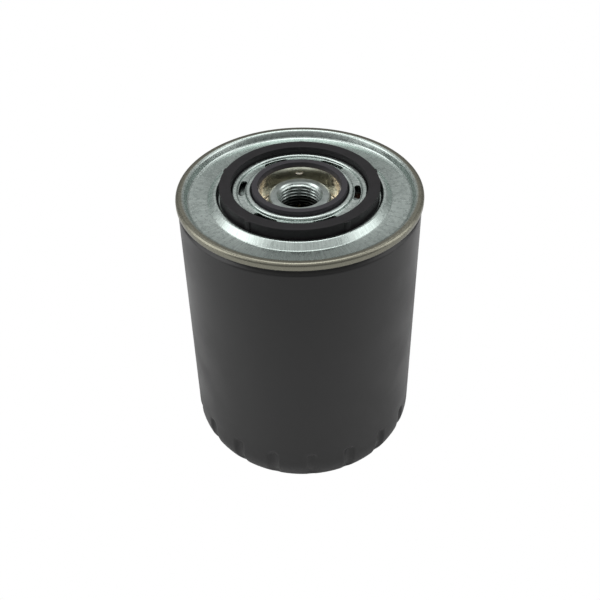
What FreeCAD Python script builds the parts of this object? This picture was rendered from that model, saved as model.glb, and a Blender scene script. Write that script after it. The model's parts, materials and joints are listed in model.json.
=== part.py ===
# Spin-on engine oil filter with two sealing rings: steel can, seamed lid, threaded base plate,
# pleated element, pressure relief valve, anti-drain valve and a support spring.
# It stands on its closed end: origin at the bottom centre, +Z up to the sealing face, millimetres.
import FreeCAD, Part
import os
import re
import Sketcher
from FreeCAD import Placement, Rotation
from FreeCAD import Vector as V

doc = FreeCAD.newDocument("OilFilter")

# name, value, what it measures
DIMENSIONS = [
    ("canRadius", 53.3, "outside of the can's wall"),
    ("seamTop", 140, "height of the rolled seam's crest"),
    ("canSheet", 0.65, "steel of the can"),
    ("cornerRadius", 19.5, "outside round between wall and closed end"),
    ("recessRadius", 27, "flat middle of the closed end"),
    ("recessHeight", 2.5, "rise of that middle above the foot"),
    ("recessSlope", 3, "width of its sloping side"),
    ("recessRound", 1.5, "bends of the closed end"),
    ("neckDrop", 6.4, "seam crest down to the start of the neck"),
    ("neckSlope", 1.3, "height of the neck's sloping shoulder"),
    ("neckRound", 1.4, "bends of the neck"),
    ("fluteCount", 18, "grip flutes round the can"),
    ("fluteStart", 13.5, "angle of the first flute"),
    ("fluteRadius", 3.5, "round section of a flute"),
    ("fluteDepth", 1.35, "depth of a flute in the wall"),
    ("fluteTop", 23.6, "centre of a flute's round upper end"),
    ("fluteTurn", 22, "angle that a flute follows round the corner"),
    ("fluteRunout", 9, "straight end of a flute past that angle"),
    ("seamProud", 0.7, "seam outside the can's wall"),
    ("seamDepth", 3.7, "outer wall of the seam"),
    ("seamGap", 0.05, "between the layers of the seam"),
    ("seamRound", 1.1, "outer shoulder of the seam"),
    ("foldRound", 1.05, "fold at the foot of the seam"),
    ("hookRound", 0.35, "bend of the can's hook"),
    ("hookClear", 1.1, "end of the can's hook above the fold"),
    ("coverHookClear", 0.45, "end of the lid's hook below the can's hook"),
    ("compoundTop", 1.6, "seam crest down to the sealing compound"),
    ("compoundFoot", 3, "seam crest down to the compound's lower edge"),
    ("lidSheet", 0.7, "steel of the lid"),
    ("lidFloorDrop", 3.65, "seam crest down to the lid's floor"),
    ("chuckTaper", 1.4, "lean of the wall inside the seam"),
    ("chuckRound", 1, "bends of that wall"),
    ("slopeRun", 2.6, "width of the slope outside the outer gasket"),
    ("ridgeDrop", 1, "seam crest down to the ridge round the outer gasket"),
    ("ridgeWidth", 1.6, "crest of that ridge"),
    ("ridgeRound", 0.8, "bends of that ridge"),
    ("grooveLean", 0.4, "lean of the groove's outer wall"),
    ("grooveRound", 0.5, "bends at the groove's floor"),
    ("beadRise", 0.2, "bead inside the outer gasket above the seam crest"),
    ("beadWidth", 2.5, "that bead"),
    ("beadRound", 0.8, "bends of that bead"),
    ("slotFloorDrop", 1, "seam crest down to the slotted band"),
    ("bandWidth", 3.5, "that band, from the lip to the bead"),
    ("bandRound", 0.3, "bends at the slotted band"),
    ("lipRise", 0.5, "lip round the inner gasket above the seam crest"),
    ("lipWidth", 2.5, "that lip"),
    ("lipRound", 1, "bends of that lip"),
    ("seatDrop", 1.2, "seam crest down to the inner gasket's seat"),
    ("slotCount", 6, "oil inlet slots in the lid"),
    ("slotStart", 54, "angle of the first slot's middle"),
    ("slotSpan", 20, "angle of a slot between its end centres"),
    ("slotWidth", 2.8, "width of a slot"),
    ("gasketWidth", 5, "outer gasket, width of its section"),
    ("gasketProud", 3, "outer gasket above the seam crest"),
    ("gasketRound", 0.35, "edges of both gaskets"),
    ("gasketInside", 0.3, "outer gasket to the bead inside it"),
    ("gasketOutside", 0.8, "outer gasket to the groove's outer wall"),
    ("lugCount", 5, "lugs that centre the outer gasket"),
    ("lugStart", 15.5, "angle of the first lug"),
    ("lugReach", 0.65, "lug outside the gasket"),
    ("innerGasketWidth", 2.65, "inner gasket, width of its section"),
    ("innerGasketProud", 2.2, "inner gasket above the seam crest"),
    ("innerGasketSide", 0.25, "inner gasket to the lip outside it"),
    ("sleeveSheet", 0.6, "gasket retainer's steel"),
    ("sleeveGap", 0.1, "gasket retainer to the gasket outside it"),
    ("sleeveFoot", 1.2, "foot of the retainer turned inwards"),
    ("sleeveRound", 0.6, "bend of that foot"),
    ("lidEdgeGap", 0.25, "retainer to the edge of the lid"),
    ("dimpleCount", 4, "stakes that lock the retainer below the lid"),
    ("dimpleDrop", 2.9, "seam crest down to a stake's middle"),
    ("dimpleHalfWidth", 1.75, "half the width of a stake"),
    ("dimpleHalfHeight", 0.95, "half the height of a stake"),
    ("dimpleDepth", 0.5, "depth of a stake"),
    ("plateGauge", 3.5, "steel of the base plate"),
    ("plateInset", 2.5, "rim of the plate inside the foot of the lid's wall"),
    ("plateRound", 1, "bends of the plate"),
    ("dishSide", 0.7, "retainer to the dished wall round it"),
    ("dishDrop", 11.5, "seam crest down to the dish's floor"),
    ("dishRound", 2.4, "outer round of the dish's foot"),
    ("hubRadius", 13.75, "threaded hub, outside"),
    ("hubDrop", 3, "seam crest down to the hub's face"),
    ("hubRound", 1.3, "edge of the hub's face"),
    ("hubMoat", 2.55, "hub to the foot of the gasket retainer"),
    ("boreRadius", 8.72, "bore at the crests of the 3/4-16 thread"),
    ("mouthWidth", 1.4, "chamfer at both ends of the bore"),
    ("portCount", 12, "oil inlet ports through the base plate"),
    ("portLand", 1.2, "dished wall to the edge of a port"),
    ("portRadius", 2.5, "one port"),
    ("outletCount", 4, "outlet slots in the dish's floor"),
    ("outletSpan", 44, "angle of an outlet slot between its end centres"),
    ("outletWidth", 1.9, "width of an outlet slot"),
    ("outletGap", 0.35, "outlet slot to the hub's wall"),
    ("neckGap", 0.1, "anti-drain valve's neck to the dish"),
    ("neckWall", 1.6, "anti-drain valve's neck"),
    ("neckLow", 0.8, "anti-drain valve's neck above the dish's underside"),
    ("skirtDrop", 1.5, "base plate down to the valve's root"),
    ("skirtWall", 1.2, "the valve's skirt at its root"),
    ("lipReach", 3.6, "sealing lip outside the ports"),
    ("lipLand", 1.8, "width of the sealing lip"),
    ("lipThick", 0.9, "sealing lip"),
    ("lipBevel", 1, "slope outside the sealing lip"),
    ("rootWidth", 1, "root of the skirt on the neck"),
    ("valveGap", 0.05, "valve lip to the base plate"),
    ("capSheet", 0.5, "steel of the element's end caps"),
    ("capDrop", 17, "seam crest down to the top cap's inner face"),
    ("collarClear", 0.65, "collar of the top cap below the valve's skirt"),
    ("collarGap", 0.1, "collar to the valve's neck"),
    ("collarRound", 1, "foot of the collar"),
    ("oilSpace", 6.8, "element to the can's wall"),
    ("capFlange", 4.3, "flange of an end cap"),
    ("capRound", 0.9, "rim of an end cap"),
    ("capBase", 24, "foot of the element above the ground"),
    ("pottingDepth", 2, "sealing compound in each cap"),
    ("pottingLip", 1, "compound inside the centre tube"),
    ("tubeRoom", 1.2, "top cap's collar to the inside of the centre tube"),
    ("tubeSheet", 0.6, "centre tube's steel"),
    ("tubeHole", 2.6, "radius of a hole in the centre tube"),
    ("tubeColumns", 14, "holes round the centre tube"),
    ("tubeRows", 9, "rows of holes"),
    ("tubeMargin", 8, "first and last row to the tube's ends"),
    ("pleatCount", 48, "pleats of the filter paper"),
    ("pleatInside", 0.6, "paper to the centre tube"),
    ("pleatOutside", 1, "paper to the cap's flange"),
    ("paperSheet", 0.8, "filter paper"),
    ("foldGap", 0.15, "half the gap inside a fold"),
    ("clipSheet", 0.4, "side clip's steel"),
    ("clipGap", 0.1, "side clip to the fold"),
    ("clipSide", 0.25, "side clip to the paper's flanks"),
    ("clipDepth", 3.5, "side clip's legs"),
    ("cageSheet", 0.8, "relief valve's cage"),
    ("cageInner", 13.3, "cage, inside radius"),
    ("cageFlange", 17, "cage's flange"),
    ("cageHeight", 20, "cage above the cap"),
    ("cageHole", 2.3, "stem guide in the cage"),
    ("cageRound", 1.2, "bends of the cage"),
    ("windowCount", 4, "windows in the cage"),
    ("windowHalf", 4.5, "half the width of a window"),
    ("windowLow", 3, "window above the cap"),
    ("windowHigh", 15, "window's upper edge above the cap"),
    ("valvePort", 8, "relief port in the bottom cap"),
    ("sealInner", 6.2, "valve's rubber washer, inside radius"),
    ("sealOuter", 11.4, "rubber washer, outside radius"),
    ("sealThick", 1.5, "rubber washer"),
    ("discRadius", 12.9, "valve disc"),
    ("discSheet", 1, "valve disc's steel"),
    ("bossRadius", 5, "raised middle of the valve disc, inside"),
    ("bossHeight", 3.5, "that middle above the washer"),
    ("bossRound", 0.8, "bends of the valve disc"),
    ("stemRadius", 1.8, "valve stem"),
    ("stemHead", 3.2, "stem's head"),
    ("stemHeadThick", 1.1, "stem's head"),
    ("stemTop", 5.5, "stem above the cage"),
    ("stemGap", 0.05, "stem in the disc"),
    ("reliefWire", 1.2, "relief spring's wire"),
    ("reliefCoil", 8.4, "relief spring's mean radius"),
    ("reliefTurns", 5, "relief spring's turns"),
    ("supportWire", 2.8, "support spring's wire"),
    ("supportSeat", 1.3, "support spring's mean radius outside the recess"),
    ("supportTurns", 3, "support spring's turns"),
    ("springGap", 0.06, "spring to the faces it bears on"),
    ("cutClear", 1, "a slot's cut past the faces that it opens"),
]

# Levels and radii that follow from the dimensions.
SEAM_RADIUS = "(canRadius + seamProud)"
HOOK_RADIUS = f"({SEAM_RADIUS} - lidSheet - seamGap - canSheet)"
NECK_RADIUS = f"({HOOK_RADIUS} - seamGap - lidSheet - seamGap)"
COVER_HOOK_RADIUS = f"({NECK_RADIUS} + seamGap)"
CHUCK_TOP = f"({NECK_RADIUS} - canSheet - seamGap - lidSheet)"
CHUCK_FOOT = f"({CHUCK_TOP} - chuckTaper)"
HOOK_TOP = "(seamTop - lidSheet - seamGap - canSheet)"
LID_FLOOR = "(seamTop - lidFloorDrop)"
SLEEVE_INNER = "(hubRadius + hubMoat + sleeveFoot)"
SLEEVE_OUTER = f"({SLEEVE_INNER} + sleeveSheet)"
LID_EDGE = f"({SLEEVE_OUTER} + lidEdgeGap)"
INNER_GASKET_INNER = f"({SLEEVE_OUTER} + sleeveGap)"
INNER_GASKET_OUTER = f"({INNER_GASKET_INNER} + innerGasketWidth)"
SEAT = "(seamTop - seatDrop)"
LIP_INNER = f"({INNER_GASKET_OUTER} + innerGasketSide)"
LIP_OUTER = f"({LIP_INNER} + lipWidth)"
BAND = "(seamTop - slotFloorDrop)"
SLOT_CIRCLE = f"({LIP_OUTER} + bandWidth / 2)"
BEAD_INNER = f"({LIP_OUTER} + bandWidth)"
BEAD_TOP = "(seamTop + beadRise)"
GROOVE_INNER = f"({BEAD_INNER} + beadWidth)"
GASKET_INNER = f"({GROOVE_INNER} + gasketInside)"
GASKET_OUTER = f"({GASKET_INNER} + gasketWidth)"
GROOVE_OUTER = f"({GASKET_OUTER} + gasketOutside)"
RIDGE_INNER = f"({GROOVE_OUTER} + grooveLean)"
RIDGE_OUTER = f"({RIDGE_INNER} + ridgeWidth)"
RIDGE_TOP = "(seamTop - ridgeDrop)"
SLOPE_FOOT = f"({RIDGE_OUTER} + slopeRun)"
PLATE_TOP = f"({LID_FLOOR} - lidSheet)"
PLATE_UNDER = f"({PLATE_TOP} - plateGauge)"
PLATE_RADIUS = f"({CHUCK_FOOT} - plateInset)"
DISH_INNER = f"({SLEEVE_OUTER} + dishSide)"
DISH_OUTER = f"({DISH_INNER} + plateGauge)"
PORT_CIRCLE = f"({DISH_OUTER} + portLand + portRadius)"
DISH_FLOOR = "(seamTop - dishDrop)"
DISH_UNDER = f"({DISH_FLOOR} - plateGauge)"
HUB_TOP = "(seamTop - hubDrop)"
OUTLET_CIRCLE = "(hubRadius + outletGap + outletWidth / 2)"
VALVE_NECK = f"({DISH_OUTER} + neckGap)"
VALVE_NECK_OUTER = f"({VALVE_NECK} + neckWall)"
VALVE_NECK_FOOT = f"({DISH_UNDER} + neckLow)"
VALVE_ROOT = f"({PLATE_UNDER} - skirtDrop)"
VALVE_LIP = f"({PLATE_UNDER} - valveGap)"
LIP_RADIUS = f"({PORT_CIRCLE} + portRadius + lipReach)"
SKIRT_FOOT = f"({VALVE_ROOT} - skirtWall)"
COLLAR = f"({VALVE_NECK_OUTER} + collarGap)"
COLLAR_TOP = f"({SKIRT_FOOT} - collarClear)"
CAP_TOP = "(seamTop - capDrop)"
CAP_FLOOR = "(capBase + capSheet)"
CAP_INNER = "(canRadius - canSheet - oilSpace - capSheet)"
PAPER_TOP = f"({CAP_TOP} - pottingDepth)"
PAPER_LOW = f"({CAP_FLOOR} + pottingDepth)"
TUBE_INNER = f"({COLLAR} + capSheet + tubeRoom)"
TUBE_OUTER = f"({TUBE_INNER} + tubeSheet)"
PAPER_INNER = f"({TUBE_OUTER} + pleatInside)"
PAPER_OUTER = f"({CAP_INNER} - pleatOutside)"
HALF_PLEAT = "(180 / pleatCount)"
FOLD_HALF = "(paperSheet + foldGap)"
WASHER_FOOT = f"({CAP_FLOOR} + valveGap)"
DISC_FOOT = f"({WASHER_FOOT} + sealThick)"
DISC_TOP = f"({DISC_FOOT} + discSheet)"
BOSS_FOOT = f"({DISC_FOOT} + bossHeight)"
CAGE_UNDER = f"({CAP_FLOOR} + cageHeight)"
SUPPORT_COIL = "(recessRadius + recessSlope + supportSeat)"
FLUTE_CIRCLE = "(canRadius + fluteRadius - fluteDepth)"
FLUTE_BEND = "(cornerRadius + fluteRadius - fluteDepth)"

STANDING = Placement(V(0, 0, 0), Rotation(V(1, 0, 0), 90))  # turns a sketch's X-Y into X-Z
SUB_PARTS = []


def cell(text):
    """The expression with each dimension's name pointed at the sheet."""
    return re.sub(r"\b([a-z]\w*)\b(?!\()", r"dims.\1", text)


def fill_sheet():
    """The driving dimensions, one row each."""
    sheet = doc.addObject("Spreadsheet::Sheet", "dims")
    for row, (name, value, note) in enumerate(DIMENSIONS, start=1):
        sheet.set(f"A{row}", name)
        sheet.set(f"B{row}", str(value))
        sheet.set(f"C{row}", note)
        sheet.setAlias(f"B{row}", name)
    doc.recompute()
    return sheet


def start_radius(text):
    """A first guess for a rounded corner: the first dimension that its expression names."""
    return float(dims.get(re.findall(r"[a-z]\w*", text)[0]))


def bind(thing, **expressions):
    """Tie properties to expressions; a double underscore stands for a dot."""
    for name, text in expressions.items():
        thing.setExpression(name.replace("__", "."), cell(str(text)))


def keep(piece, label):
    """Give a finished sub-part its name."""
    piece.Label = label
    SUB_PARTS.append(piece)
    return piece


def spin(piece, angle):
    """Turn a finished sub-part about the filter's axis."""
    piece.Placement = Placement(V(0, 0, 0), Rotation(V(0, 0, 1), 1))
    piece.setExpression("Placement.Rotation.Angle", cell(f"({angle}) * 1deg"))


def origin_plane(body, role):
    return next(item for item in body.Origin.OriginFeatures if item.Role == role)


def new_sketch(body, name, plane, level):
    """An empty sketch on one of a body's planes, or standing on the X-Z plane of the document."""
    if body is None:
        sketch = doc.addObject("Sketcher::SketchObject", name)
        sketch.Placement = STANDING
        return sketch
    sketch = body.newObject("Sketcher::SketchObject", name)
    sketch.AttachmentSupport = [(origin_plane(body, plane), "")]
    sketch.MapMode = "FlatFace"
    bind(sketch, AttachmentOffset__Base__z=level)
    return sketch


def place_point(sketch, number, geometry, end, corner):
    """Hold one point of a sketch at an (across, up) pair of expressions."""
    for kind, letter, text in (("DistanceX", "x", corner[0]), ("DistanceY", "y", corner[1])):
        index = sketch.addConstraint(Sketcher.Constraint(kind, -1, 1, geometry, end, 1.0))
        sketch.renameConstraint(index, f"{letter}{number}")
        sketch.setExpression(f"Constraints.{letter}{number}", cell(str(text)))


def round_corner(sketch, number, line, text):
    """Round the corner at a line's far end, with the radius tied to its expression."""
    arc = sketch.GeometryCount
    sketch.fillet(line, 2, start_radius(text), True, True)
    index = sketch.addConstraint(Sketcher.Constraint("Radius", arc, start_radius(text)))
    sketch.renameConstraint(index, f"round{number}")
    sketch.setExpression(f"Constraints.round{number}", cell(text))


def outline(body, name, corners, rounds=None, closed=True, plane="XZ_Plane", level="0"):
    """A sketch through (across, up) corners, some of them rounded, closed or open."""
    sketch = new_sketch(body, name, plane, level)
    count = len(corners)
    lines = count if closed else count - 1
    for i in range(lines):
        k = (i + 1) % count
        sketch.addGeometry(Part.LineSegment(V(i, i * i, 0), V(k, k * k, 0)), False)
    for i in range(count - 1 if closed else count - 2):
        sketch.addConstraint(Sketcher.Constraint("Coincident", i, 2, i + 1, 1))
    if closed:
        sketch.addConstraint(Sketcher.Constraint("Coincident", lines - 1, 2, 0, 1))
    for i, corner in enumerate(corners):
        place_point(sketch, i, min(i, lines - 1), 1 if i < lines else 2, corner)
    doc.recompute()
    for i, text in (rounds or {}).items():
        round_corner(sketch, i, (i - 1) % lines, text)
    doc.recompute()
    return sketch


def circle(body, name, centre, radius, plane="XY_Plane", level="0"):
    """A sketch of one circle."""
    sketch = new_sketch(body, name, plane, level)
    sketch.addGeometry(Part.Circle(V(1, 0, 0), V(0, 0, 1), 1), False)
    place_point(sketch, 0, 0, 3, centre)
    index = sketch.addConstraint(Sketcher.Constraint("Radius", 0, 1.0))
    sketch.renameConstraint(index, "size")
    sketch.setExpression("Constraints.size", cell(str(radius)))
    doc.recompute()
    return sketch


def turned(section, name):
    """A section revolved about the filter's axis."""
    solid = doc.addObject("Part::Revolution", name)
    solid.Source = section
    solid.Axis = V(0, 0, 1)
    solid.Base = V(0, 0, 0)
    solid.Angle = 360
    solid.Solid = True
    return solid


def pressed(name, corners, rounds, sheet_metal):
    """Sheet metal turned about the axis: one face's line, thickened to a side, then revolved."""
    line = outline(None, name + "Line", corners, rounds, closed=False)
    section = doc.addObject("Part::Offset2D", name + "Section")
    section.Source = line
    section.Mode = "Skin"
    section.Join = "Intersection"
    section.Fill = True
    section.Value = 0.5
    bind(section, Value=sheet_metal)
    return turned(section, name + "Sheet")


def new_body(name, base=None):
    """A body, empty or starting from a pressed sheet."""
    body = doc.addObject("PartDesign::Body", name)
    if base is not None:
        body.BaseFeature = base
        doc.recompute()
    return body


def turned_body(name, corners, rounds=None):
    """A solid ring or disc turned from a closed outline."""
    body = new_body(name)
    section = outline(body, name + "Section", corners, rounds)
    ring = body.newObject("PartDesign::Revolution", name + "Ring")
    ring.Profile = section
    ring.ReferenceAxis = (section, ["V_Axis"])
    ring.Angle = 360
    doc.recompute()
    return body


def repeat(body, name, features, sketch, count):
    """Repeat features evenly round the axis. The sketch stands on the X-Z plane."""
    pattern = body.newObject("PartDesign::PolarPattern", name)
    pattern.Originals = features
    pattern.Axis = (sketch, ["V_Axis"])
    pattern.Angle = 360
    bind(pattern, Occurrences=count)
    body.Tip = pattern
    doc.recompute()


def axis_line(body, name):
    """A short line on the X-Z plane whose sketch gives patterns their axis."""
    return outline(body, name, [("1", "0"), ("2", "0")], closed=False)


def drill(body, name, sketch, both_ways=True):
    """Cut a sketch right through."""
    cut = body.newObject("PartDesign::Pocket", name)
    cut.Profile = sketch
    cut.Type = "ThroughAll"
    cut.Midplane = both_ways
    doc.recompute()
    return cut


def hole_ring(body, name, circle_radius, hole_radius, count):
    """Round holes along the axis, evenly spaced on a circle."""
    axis = axis_line(body, name + "Axis")
    hole = drill(body, name + "Hole", circle(body, name + "Circle", (circle_radius, 0), hole_radius))
    repeat(body, name + "Ring", [hole], axis, count)


def slot_ring(body, name, circle_radius, width, span, low, high, count):
    """Curved slots with round ends: a swept rectangle and two holes, repeated."""
    inner, outer = f"{circle_radius} - {width} / 2", f"{circle_radius} + {width} / 2"
    box = outline(body, name + "Box", [(inner, low), (outer, low), (outer, high), (inner, high)])
    sweep = body.newObject("PartDesign::Groove", name + "Sweep")
    sweep.Profile = box
    sweep.ReferenceAxis = (box, ["V_Axis"])
    sweep.Midplane = True
    sweep.Angle = 10
    bind(sweep, Angle=f"{span} * 1deg")
    doc.recompute()
    ends = [sweep]
    for side, sign in (("Left", ""), ("Right", "-")):
        centre = (f"{circle_radius} * cos({span} / 2)", f"{sign}{circle_radius} * sin({span} / 2)")
        ends.append(drill(body, name + side, circle(body, name + side + "End", centre, f"{width} / 2")))
    repeat(body, name + "Ring", ends, box, count)


def ball_end(body, name, radius, across, level):
    """A ball added to a tool body."""
    ball = body.newObject("PartDesign::AdditiveSphere", name)
    ball.AttachmentSupport = [(origin_plane(body, "XY_Plane"), "")]
    ball.MapMode = "FlatFace"
    bind(ball, Radius=radius, AttachmentOffset__Base__x=across, AttachmentOffset__Base__z=level)
    doc.recompute()
    return ball


def flutes(name, radius):
    """All the flutes as round bars that follow the can's wall and corner."""
    body = new_body(name)
    corner = f"({FLUTE_BEND} * tan(fluteTurn / 2))"
    bend_height = f"(cornerRadius - {corner})"
    reach = f"({corner} + fluteRunout)"
    path = outline(
        body,
        name + "Path",
        [
            (FLUTE_CIRCLE, "fluteTop"),
            (FLUTE_CIRCLE, bend_height),
            (f"{FLUTE_CIRCLE} - {reach} * sin(fluteTurn)", f"{bend_height} - {reach} * cos(fluteTurn)"),
        ],
        {1: FLUTE_BEND},
        closed=False,
    )
    bar = body.newObject("PartDesign::AdditivePipe", name + "Bar")
    bar.Profile = circle(body, name + "Round", (FLUTE_CIRCLE, 0), radius, level="fluteTop")
    bar.Spine = (path, [""])
    doc.recompute()
    top = ball_end(body, name + "Top", radius, FLUTE_CIRCLE, "fluteTop")
    repeat(body, name + "Ring", [bar, top], path, "fluteCount")
    return body


def joined(kind, name, first, second):
    """A Part boolean of two shapes."""
    result = doc.addObject(kind, name)
    result.Base = first
    result.Tool = second
    return result


def make_can():
    """Drawn steel can with a hooked rim, a recessed closed end and pressed grip flutes."""
    sheet = pressed(
        "can",
        [
            ("0", "recessHeight"),
            ("recessRadius", "recessHeight"),
            ("recessRadius + recessSlope", "0"),
            ("canRadius", "0"),
            ("canRadius", "seamTop - neckDrop"),
            (NECK_RADIUS, "seamTop - neckDrop + neckSlope"),
            (NECK_RADIUS, HOOK_TOP),
            (HOOK_RADIUS, HOOK_TOP),
            (HOOK_RADIUS, "seamTop - seamDepth + hookClear"),
        ],
        {
            1: "recessRound",
            2: "recessRound",
            3: "cornerRadius",
            4: "neckRound",
            5: "neckRound",
            6: "hookRound",
            7: "hookRound",
        },
        "canSheet",
    )
    above = "(2 * cornerRadius + fluteTop)"
    room = outline(
        None,
        "canRoomLine",
        [("0", "0"), ("canRadius", "0"), ("canRadius", above), ("0", above)],
        {1: "cornerRadius"},
    )
    filled = turned(room, "canFilled")
    ribs = joined("Part::Common", "canRibs", filled, flutes("canRibBars", "fluteRadius + canSheet"))
    ribbed = joined("Part::Fuse", "canRibbed", sheet, ribs)
    can = joined("Part::Cut", "can", ribbed, flutes("canFluteBars", "fluteRadius"))
    spin(can, "fluteStart")
    keep(can, "can")


def make_lid():
    """Zinc-plated lid: seam, channel, two gasket grooves and the slotted inlet band."""
    sheet = pressed(
        "lid",
        [
            (LID_EDGE, SEAT),
            (LIP_INNER, SEAT),
            (LIP_INNER, "seamTop + lipRise"),
            (LIP_OUTER, "seamTop + lipRise"),
            (LIP_OUTER, BAND),
            (BEAD_INNER, BAND),
            (BEAD_INNER, BEAD_TOP),
            (GROOVE_INNER, BEAD_TOP),
            (GROOVE_INNER, LID_FLOOR),
            (GROOVE_OUTER, LID_FLOOR),
            (RIDGE_INNER, RIDGE_TOP),
            (RIDGE_OUTER, RIDGE_TOP),
            (SLOPE_FOOT, LID_FLOOR),
            (CHUCK_FOOT, LID_FLOOR),
            (CHUCK_TOP, "seamTop"),
            (SEAM_RADIUS, "seamTop"),
            (SEAM_RADIUS, "seamTop - seamDepth"),
            (COVER_HOOK_RADIUS, "seamTop - seamDepth"),
            (COVER_HOOK_RADIUS, f"{HOOK_TOP} - coverHookClear"),
        ],
        {
            1: "bandRound", 2: "lipRound", 3: "lipRound", 4: "bandRound", 5: "bandRound",
            6: "beadRound", 7: "beadRound", 8: "grooveRound", 9: "grooveRound", 10: "ridgeRound",
            11: "ridgeRound", 12: "chuckRound", 13: "chuckRound", 14: "chuckRound",
            15: "seamRound", 16: "foldRound", 17: "foldRound",
        },
        "-lidSheet",
    )
    body = new_body("lid", sheet)
    slot_ring(body, "inlet", SLOT_CIRCLE, "slotWidth", "slotSpan", f"{BAND} - lidSheet - cutClear",
              f"{BAND} + cutClear", "slotCount")
    spin(body, "slotStart")
    keep(body, "seaming_lid")


def make_seam_compound():
    """The ring of sealing compound squeezed between the lid's wall and the can's neck."""
    lean = "(chuckTaper / lidFloorDrop)"
    wall = f"(lidSheet * sqrt(1 + {lean} ^ 2) + seamGap)"
    outer = f"{NECK_RADIUS} - canSheet - seamGap"
    body = turned_body(
        "compound",
        [
            (f"{CHUCK_TOP} - compoundFoot * {lean} + {wall}", "seamTop - compoundFoot"),
            (outer, "seamTop - compoundFoot"),
            (outer, "seamTop - compoundTop"),
            (f"{CHUCK_TOP} - compoundTop * {lean} + {wall}", "seamTop - compoundTop"),
        ],
    )
    keep(body, "seam_compound")


def make_plate():
    """Thick base plate, dished round its threaded hub, with inlet ports and outlet slots."""
    body = turned_body(
        "plate",
        [
            (PLATE_RADIUS, PLATE_TOP),
            (PLATE_RADIUS, PLATE_UNDER),
            (DISH_OUTER, PLATE_UNDER),
            (DISH_OUTER, DISH_UNDER),
            ("boreRadius + mouthWidth", DISH_UNDER),
            ("boreRadius", f"{DISH_UNDER} + mouthWidth"),
            ("boreRadius", f"{HUB_TOP} - mouthWidth"),
            ("boreRadius + mouthWidth", HUB_TOP),
            ("hubRadius", HUB_TOP),
            ("hubRadius", DISH_FLOOR),
            (DISH_INNER, DISH_FLOOR),
            (DISH_INNER, PLATE_TOP),
        ],
        {2: "plateRound", 3: "dishRound", 8: "hubRound", 11: "plateRound"},
    )
    hole_ring(body, "port", PORT_CIRCLE, "portRadius", "portCount")
    slot_ring(body, "outlet", OUTLET_CIRCLE, "outletWidth", "outletSpan", f"{DISH_UNDER} - cutClear",
              f"{DISH_FLOOR} + cutClear", "outletCount")
    keep(body, "tapping_plate")


def make_retainer():
    """Pressed sleeve that holds the inner gasket, staked below the lid."""
    sheet = pressed(
        "retainer",
        [
            (f"{SLEEVE_INNER} - sleeveFoot", f"{DISH_FLOOR} + sleeveSheet"),
            (SLEEVE_INNER, f"{DISH_FLOOR} + sleeveSheet"),
            (SLEEVE_INNER, "seamTop"),
        ],
        {1: "sleeveRound"},
        "-sleeveSheet",
    )
    body = new_body("retainer", sheet)
    axis = axis_line(body, "stakeAxis")
    bump = stake(body, "AdditiveEllipsoid", "stakeBump", "sleeveSheet")
    repeat(body, "stakeBumps", [bump], axis, "dimpleCount")
    bore = drill(body, "sleeveBore", circle(body, "sleeveBoreCircle", (0, 0), SLEEVE_INNER,
                                            level=f"{DISH_FLOOR} + sleeveSheet + sleeveRound"), False)
    bore.Reversed = True
    doc.recompute()
    hollow = stake(body, "SubtractiveEllipsoid", "stakeHollow", "0")
    repeat(body, "stakeHollows", [hollow], axis, "dimpleCount")
    keep(body, "gasket_retainer")


def stake(body, kind, name, extra):
    """One oval stake, pressed outwards; extra is the metal round it."""
    oval = body.newObject("PartDesign::" + kind, name)
    oval.AttachmentSupport = [(origin_plane(body, "XY_Plane"), "")]
    oval.MapMode = "FlatFace"
    bind(
        oval,
        Radius1=f"dimpleHalfHeight + {extra}",
        Radius2=f"dimpleDepth + {extra}",
        Radius3=f"dimpleHalfWidth + {extra}",
        AttachmentOffset__Base__x=SLEEVE_INNER,
        AttachmentOffset__Base__z="seamTop - dimpleDrop",
    )
    doc.recompute()
    return oval


def make_gaskets():
    """The square-section outer gasket with its centring lugs, and the narrow inner one."""
    outer = turned_body(
        "outerGasket",
        [
            (GASKET_INNER, LID_FLOOR),
            (GASKET_OUTER, LID_FLOOR),
            (GASKET_OUTER, "seamTop + gasketProud"),
            (GASKET_INNER, "seamTop + gasketProud"),
        ],
        {i: "gasketRound" for i in range(4)},
    )
    axis = axis_line(outer, "lugAxis")
    lug = outer.newObject("PartDesign::Pad", "lug")
    lug.Profile = circle(outer, "lugCircle", (GASKET_OUTER, 0), "lugReach",
                         level=f"{LID_FLOOR} + grooveRound + gasketRound")
    bind(lug, Length="lidFloorDrop + gasketProud - grooveRound - 2 * gasketRound")
    doc.recompute()
    repeat(outer, "lugs", [lug], axis, "lugCount")
    spin(outer, "lugStart")
    keep(outer, "outer_gasket")
    inner = turned_body(
        "innerGasket",
        [
            (INNER_GASKET_INNER, SEAT),
            (INNER_GASKET_OUTER, SEAT),
            (INNER_GASKET_OUTER, "seamTop + innerGasketProud"),
            (INNER_GASKET_INNER, "seamTop + innerGasketProud"),
        ],
        {i: "gasketRound" for i in range(4)},
    )
    keep(inner, "inner_gasket")


def make_drain_valve():
    """Rubber anti-drain valve: a neck round the dish and a skirt whose lip closes the ports."""
    body = turned_body(
        "drainValve",
        [
            (VALVE_NECK, VALVE_NECK_FOOT),
            (VALVE_NECK_OUTER, VALVE_NECK_FOOT),
            (VALVE_NECK_OUTER, SKIRT_FOOT),
            (f"{LIP_RADIUS} - lipBevel", f"{VALVE_LIP} - lipThick"),
            (LIP_RADIUS, VALVE_LIP),
            (f"{LIP_RADIUS} - lipLand", VALVE_LIP),
            (f"{VALVE_NECK_OUTER} + rootWidth", VALVE_ROOT),
            (VALVE_NECK, VALVE_ROOT),
        ],
    )
    keep(body, "anti_drain_valve")


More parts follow.
